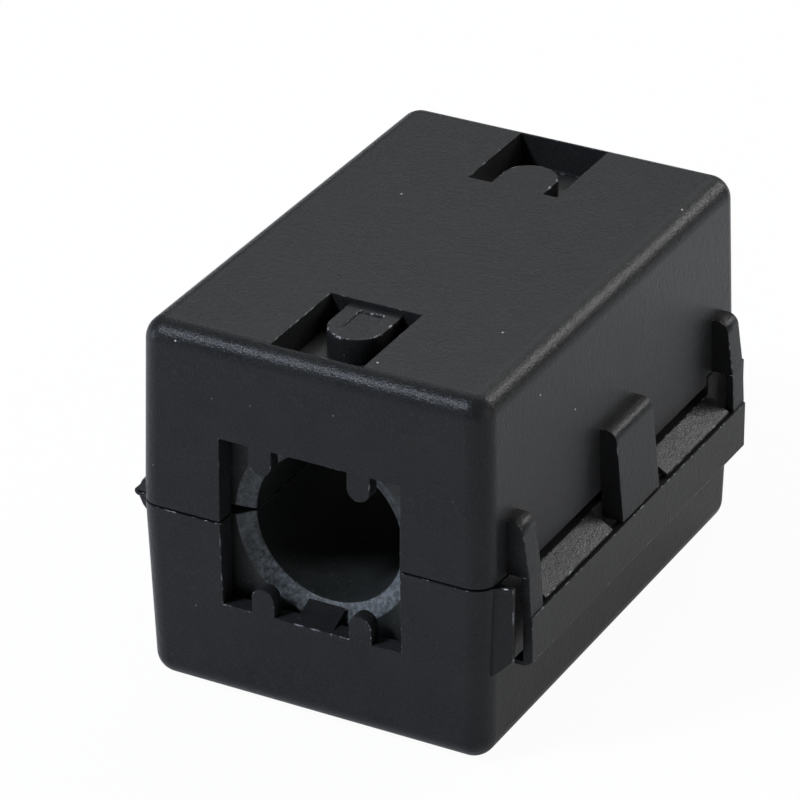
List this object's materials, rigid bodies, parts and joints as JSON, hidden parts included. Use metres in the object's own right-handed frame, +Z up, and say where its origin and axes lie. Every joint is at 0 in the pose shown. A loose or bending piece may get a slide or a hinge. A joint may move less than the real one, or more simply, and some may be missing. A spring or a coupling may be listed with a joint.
{
  "type": "clip on ferrite bead",
  "caption": "Boxy hinged plastic case that snaps shut round a cable, with a split ferrite core inside, toothed cable openings at its ends and a strap latch on its side.",
  "frame": {"origin": "on the cable axis, half way along the case, in the parting plane of the two halves", "axes": "+Y along the cable, +X towards the latch, +Z up from the lower half to the upper half"},
  "size_m": [0.0265, 0.0352, 0.0248],
  "materials": {
    "case_plastic": "fine moulded texture, matt black",
    "ferrite": "sintered dark grey ceramic, slightly rough"
  },
  "bodies": {
    "lower": {"lower_shell": "case_plastic", "lower_core": "ferrite", "hinge_film": "case_plastic"},
    "upper": {"upper_shell": "case_plastic", "upper_core": "ferrite"},
    "latch": {"latch_strap": "case_plastic"}
  },
  "joints": [
    {"name": "lid_hinge", "type": "hinge", "parent": "lower", "child": "upper", "pos_m": [-0.0125, 0, 0], "axis": [0, -1, 0], "range_deg": [0, 180], "deforming": ["hinge_film", "latch_strap"]},
    {"name": "latch_flex", "type": "hinge", "parent": "upper", "child": "latch", "pos_m": [0.01348, 0, 0.00008], "axis": [0, -1, 0], "range_deg": [0, 15], "stiffness_Nm_per_rad": 0.03}
  ]
}
